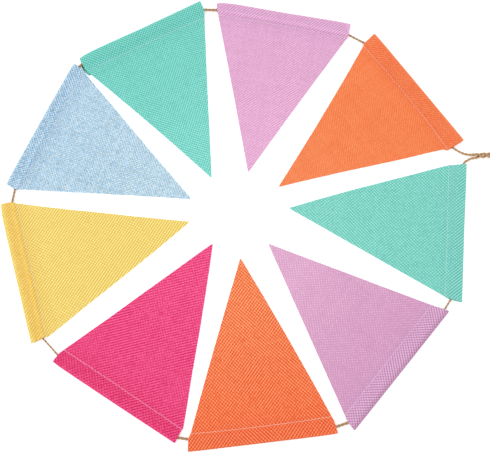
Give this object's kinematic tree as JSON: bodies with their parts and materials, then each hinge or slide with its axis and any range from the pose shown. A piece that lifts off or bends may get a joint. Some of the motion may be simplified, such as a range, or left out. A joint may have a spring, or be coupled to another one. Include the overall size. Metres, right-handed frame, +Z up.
{
  "type": "fabric bunting",
  "caption": "Triangular cloth pennants with a sewn sleeve along the fold, threaded on jute twine and laid out in a ring, tips inwards, with two loose tie ends twisted together.",
  "frame": {"origin": "middle of the ring of pennants on the surface it lies on, measured without the two tie ends", "axes": "+Z up from the surface through the cloth; +X to the side where the tie ends leave the ring; +Y to the ring's top as seen from above"},
  "size_m": [0.5241, 0.4666, 0.0059],
  "materials": {
    "lilac_cotton": "matt plain weave",
    "orange_cotton": "matt plain weave",
    "teal_cotton": "matt plain weave",
    "pink_cotton": "matt plain weave",
    "yellow_cotton": "matt plain weave",
    "blue_cotton": "matt two-tone coarse weave",
    "jute": "rough twisted jute fibre"
  },
  "bodies": {
    "root": {"pennant_1_lilac": "lilac_cotton", "pennant_2_orange": "orange_cotton", "pennant_3_teal": "teal_cotton", "pennant_4_lilac": "lilac_cotton", "pennant_5_orange": "orange_cotton", "pennant_6_pink": "pink_cotton", "pennant_7_yellow": "yellow_cotton", "pennant_8_blue": "blue_cotton", "pennant_9_teal": "teal_cotton", "twine": "jute", "tie_a": "jute", "tie_b": "jute"}
  },
  "joints": []
}
